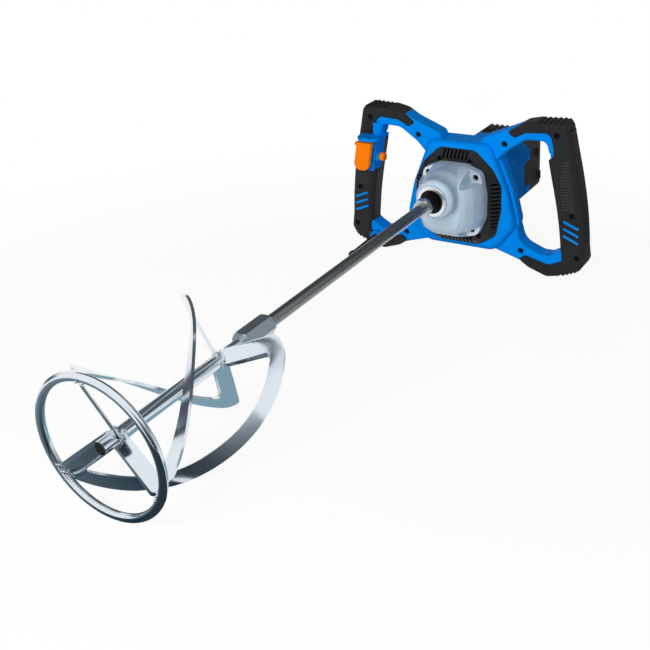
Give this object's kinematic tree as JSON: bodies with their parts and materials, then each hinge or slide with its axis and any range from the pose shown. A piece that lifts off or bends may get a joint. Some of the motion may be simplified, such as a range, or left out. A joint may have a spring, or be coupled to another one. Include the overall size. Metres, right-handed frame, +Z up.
{
  "type": "mixing drill",
  "caption": "Blue and black two-handed mixing drill with D handles, orange trigger and a zinc-plated stirring paddle with twisted blades and a ring",
  "frame": {"origin": "on the floor under the middle of the bounding box, the tool lying on its lower handle bumpers and its paddle ring", "axes": "+Z up, +Y from the paddle towards the motor's rear cap, +X towards the right-hand grip seen from behind the paddle; the spindle rises 3.8 degrees towards +Y"},
  "size_m": [0.3522, 0.872, 0.2134],
  "materials": {
    "blue_plastic": "satin moulded plastic",
    "black_rubber": "soft matte rubber",
    "black_plastic": "fine spark texture",
    "orange_plastic": "smooth moulded plastic",
    "cast_aluminium": "blasted casting, turned nose",
    "zinc_steel": "bright zinc plating",
    "black_steel": "black oxide",
    "gear_steel": "ground",
    "core_steel": "stacked sheets",
    "copper": "drawn copper",
    "brush_brass": "pressed sheet",
    "carbon": "pressed graphite"
  },
  "bodies": {
    "housing": {"motor_housing": "blue_plastic", "left_handle_front": "blue_plastic", "left_handle_rear": "blue_plastic", "right_handle_front": "blue_plastic", "right_handle_rear": "blue_plastic", "trigger_housing": "blue_plastic", "left_grip_inlays": "blue_plastic", "right_grip_inlays": "blue_plastic", "left_grip_front": "black_rubber", "left_grip_rear": "black_rubber", "right_grip_front": "black_rubber", "right_grip_rear": "black_rubber", "cord_boot": "black_rubber", "spindle_seal": "black_rubber", "front_grille": "black_plastic", "rear_cap": "black_plastic", "switch_body": "black_plastic", "gearbox_cover": "cast_aluminium", "gear_plate": "cast_aluminium", "handle_screws": "black_steel", "grille_screws": "black_steel", "cap_screws": "black_steel", "cover_screws": "black_steel", "trigger_pin": "gear_steel", "spindle_front_bearing": "gear_steel", "spindle_rear_bearing": "gear_steel", "countershaft_bearings": "gear_steel", "armature_front_bearing": "gear_steel", "armature_rear_bearing": "gear_steel", "field_core": "core_steel", "field_coils": "copper", "brush_holders": "brush_brass", "carbon_brushes": "carbon"},
    "stirrer": {"spindle": "black_steel", "output_gear": "gear_steel", "jam_nut": "zinc_steel", "drive_rod": "zinc_steel", "rod_coupling": "zinc_steel", "paddle_shaft": "zinc_steel", "paddle_ring": "zinc_steel", "blade_1": "zinc_steel", "blade_2": "zinc_steel", "blade_3": "zinc_steel"},
    "layshaft": {"countershaft": "gear_steel", "intermediate_gear": "gear_steel"},
    "rotor": {"armature_shaft": "gear_steel", "armature_core": "core_steel", "commutator": "copper", "cooling_fan": "black_plastic"},
    "trigger_lever": {"trigger": "orange_plastic"},
    "lock_plunger": {"lock_button": "orange_plastic"}
  },
  "joints": [
    {"name": "spindle_spin", "type": "hinge", "parent": "housing", "child": "stirrer", "pos_m": [0, 0.18251, 0.11442], "axis": [0, 0.9978, 0.0663], "continuous": true},
    {"name": "countershaft_spin", "type": "hinge", "parent": "housing", "child": "layshaft", "pos_m": [0.02165, 0.23399, 0.09389], "axis": [0, 0.9978, 0.0663], "continuous": true},
    {"name": "armature_spin", "type": "hinge", "parent": "housing", "child": "rotor", "pos_m": [0, 0.28362, 0.1011], "axis": [0, 0.9978, 0.0663], "continuous": true},
    {"name": "trigger_pull", "type": "hinge", "parent": "housing", "child": "trigger_lever", "pos_m": [-0.1406, 0.26055, 0.1587], "axis": [1, 0, 0], "range_deg": [0, 8], "stiffness_Nm_per_rad": 1.5, "springref_deg": -4.58},
    {"name": "lock_push", "type": "slide", "parent": "housing", "child": "lock_plunger", "axis": [-1, 0, 0], "range_m": [0, 0.0035], "stiffness_N_per_m": 600, "springref_m": -0.002}
  ],
  "couplings": [
    {"joint": "countershaft_spin", "follows": "spindle_spin", "ratio": -3.3},
    {"joint": "armature_spin", "follows": "spindle_spin", "ratio": 11.22}
  ]
}
